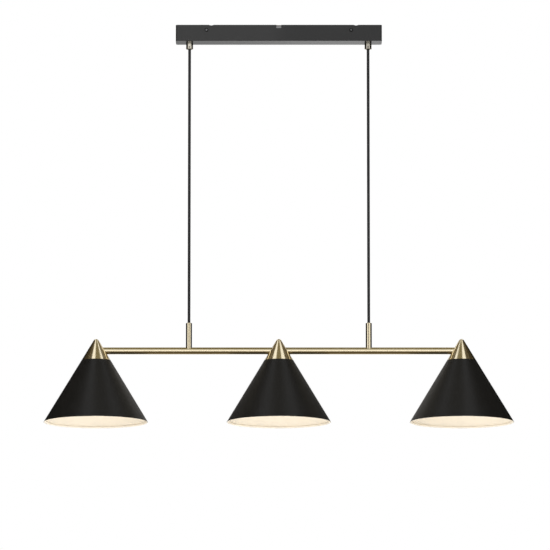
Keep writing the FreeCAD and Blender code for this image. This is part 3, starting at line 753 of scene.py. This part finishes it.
def studio():
    """The floor, and the cards that the brass, the paint and the bulbs reflect."""
    half = FLOOR_SIZE / 2
    z = FLOOR_HEIGHT
    corners = [(-half, -half, z), (half, -half, z), (half, half, z), (-half, half, z)]
    sheet_object("floor", corners, floor_material())
    roof = card_material("dim_roof", (0.205, 0.178, 0.108))
    dark = card_material("dark_card", (0.10, 0.078, 0.046))
    brown = card_material("brown_card", (0.17, 0.14, 0.09))
    gloom = card_material("gloom_card", (0.10, 0.083, 0.052))
    dusk = card_material("dusk_card", (0.045, 0.036, 0.022))
    black = card_material("black_card", (0.012, 0.011, 0.008))
    grey = card_material("grey_card", (0.50, 0.48, 0.45))
    bright = card_material("bright_card", (2.0, 1.9, 1.7))
    level_card("roof_middle", -ROOF_MIDDLE, ROOF_MIDDLE, CARD_FRONT, CARD_BACK, CARD_TOP, roof)
    for side, word in ((-1, "left"), (1, "right")):
        across = sorted((side * ROOF_MIDDLE, side * ROOF_BACK))
        back = sorted((side * BACK_SKYLIGHT, side * ROOF_BACK))
        beside = sorted((side * ROOF_SKYLIGHT, side * ROOF_EDGE))
        outside = sorted((side * ROOF_EDGE, side * CARD_SIDE))
        under = CARD_TOP - CARD_GAP
        level_card(f"roof_across_{word}", *across, SKYLIGHT_BACK, BACK_SKYLIGHT_FRONT, under, brown)
        level_card(f"roof_back_{word}", *back, BACK_SKYLIGHT_FRONT, CARD_BACK, under, brown)
        level_card(f"roof_beside_{word}", *beside, CARD_FRONT, CARD_BACK, CARD_TOP, gloom)
        level_card(f"roof_outside_{word}", *outside, CARD_FRONT, CARD_BACK, CARD_TOP, dusk)
        x = side * CARD_SIDE
        corners = [
            (x, SIDE_FRONT, CARD_LOW),
            (x, CARD_BACK, CARD_LOW),
            (x, CARD_BACK, CARD_TOP),
            (x, SIDE_FRONT, CARD_TOP),
        ]
        card(f"side_{word}", corners, black)
    level_card("below_front", -CARD_SIDE, CARD_SIDE, BELOW_FRONT, BELOW_MIDDLE, CARD_LOW, dark)
    level_card("below_back", -CARD_SIDE, CARD_SIDE, BELOW_MIDDLE, CARD_BACK, CARD_LOW, brown)
    edge = WINDOW_HALF_WIDTH
    wall = CARD_BACK - CARD_GAP
    walls = (("low", WALL_FOOT, WALL_WAIST, grey), ("high", WALL_WAIST, WALL_HEAD, bright))
    for side, word in ((-1, "left"), (1, "right")):
        beside = sorted((side * edge, side * CARD_SIDE))
        upright_card(f"behind_{word}", *beside, CARD_BACK, CARD_LOW, CARD_TOP, black)
        for part, foot, head, tone in walls:
            corners = [
                (side * edge, wall, foot[1]),
                (side * foot[0], wall, foot[1]),
                (side * head[0], wall, head[1]),
                (side * edge, wall, head[1]),
            ]
            card(f"wall_{part}_{word}", corners, tone)
    upright_card("behind_above", -edge, edge, CARD_BACK, WINDOW_HIGH, CARD_TOP, grey)
    wide = GLOW_HALF_WIDTH
    glow_left = card_material("glow_left", (1.0, 1.0, 1.0), GLOW_LEFT_STRENGTH)
    glow_right = card_material("glow_right", (1.0, 1.0, 1.0), GLOW_RIGHT_STRENGTH)
    upright_card("glow_left", -wide, 0.0, GLOW_BACK, GLOW_LOW, GLOW_HIGH, glow_left)
    upright_card("glow_right", 0.0, wide, GLOW_BACK, GLOW_LOW, GLOW_HIGH, glow_right)
    upright_card("far_wall", -CARD_SIDE, CARD_SIDE, GLOW_BACK, GLOW_HIGH, FAR_WALL_TOP, grey)
    long = STRIP_HALF_LENGTH
    upright_card("stem_strip", -long, long, CARD_FRONT, STRIP_LOW, STRIP_HIGH, dark)
    bar_glow = card_material("bar_glow", (1.0, 0.99, 0.97), BAR_GLOW_STRENGTH)
    upright_card("bar_glow", -CARD_SIDE, CARD_SIDE, BELOW_FRONT, CARD_LOW, BAR_GLOW_HIGH, bar_glow)
    flag = card_material("flag", (FLAG_TONE, FLAG_TONE, FLAG_TONE))
    upright_card("canopy_flag", 0.0, FLAG_RIGHT, FLAG_FRONT, FLAG_LOW, FLAG_HIGH, flag)


def soft_light(name, place, size, power):
    """A square softbox that faces the lamp."""
    lamp = bpy.data.lights.new(name, "AREA")
    lamp.shape = "SQUARE"
    lamp.size = size
    lamp.energy = power
    thing = bpy.data.objects.new(name, lamp)
    bpy.context.scene.collection.objects.link(thing)
    thing.location = place
    thing.visible_camera = False
    thing.visible_glossy = False
    aim = Vector((0.0, 0.0, AIM_HEIGHT)) - Vector(place)
    thing.rotation_euler = aim.to_track_quat("-Z", "Y").to_euler()


def white_world():
    """White where the camera, metal or glass sees it, and softer as light on the lamp."""
    world = bpy.data.worlds.new("studio_white")
    bpy.context.scene.world = world
    world.use_nodes = True
    nodes, links = world.node_tree.nodes, world.node_tree.links
    ray = nodes.new("ShaderNodeLightPath").outputs
    seen = nodes.new("ShaderNodeMath")
    seen.operation = "MAXIMUM"
    links.new(ray["Is Camera Ray"], seen.inputs[0])
    links.new(ray["Is Glossy Ray"], seen.inputs[1])
    through = nodes.new("ShaderNodeMath")
    through.operation = "MAXIMUM"
    links.new(seen.outputs[0], through.inputs[0])
    links.new(ray["Is Transmission Ray"], through.inputs[1])
    strength = nodes.new("ShaderNodeMapRange")
    links.new(through.outputs[0], strength.inputs["Value"])
    strength.inputs["To Min"].default_value = WORLD_LIGHT
    strength.inputs["To Max"].default_value = WORLD_SEEN
    background = nodes["Background"]
    background.inputs["Color"].default_value = (1.0, 1.0, 1.0, 1.0)
    links.new(strength.outputs[0], background.inputs["Strength"])


def camera():
    """Far back with a long lens, a little below the lamp and looking up."""
    distance = FOCAL_PIXELS * PHOTO_SCALE
    lens = bpy.data.cameras.new("camera")
    lens.sensor_width = SENSOR_WIDTH
    lens.lens = FOCAL_PIXELS * SENSOR_WIDTH / IMAGE_WIDTH
    lens.clip_end = VIEW_END
    eye = bpy.data.objects.new("camera", lens)
    bpy.context.scene.collection.objects.link(eye)
    aside = (IMAGE_WIDTH / 2 - LAMP_COLUMN) * PHOTO_SCALE
    eye.location = (
        aside,
        -distance * math.cos(CAMERA_TILT),
        AIM_HEIGHT - distance * math.sin(CAMERA_TILT),
    )
    eye.rotation_euler = (math.pi / 2 + CAMERA_TILT, 0.0, 0.0)
    bpy.context.scene.camera = eye


camera()
for side in cable_xs:
    cable(side)
canopy_screws()
earth_screws()
grub_screws()
for head in heads:
    nipple(head)
    bulb_cap(head)
studio()
white_world()
soft_light("key_light", *KEY_LIGHT)
soft_light("fill_light", *FILL_LIGHT)
soft_light("low_light", *LOW_LIGHT)
bpy.context.scene.view_settings.view_transform = "Standard"
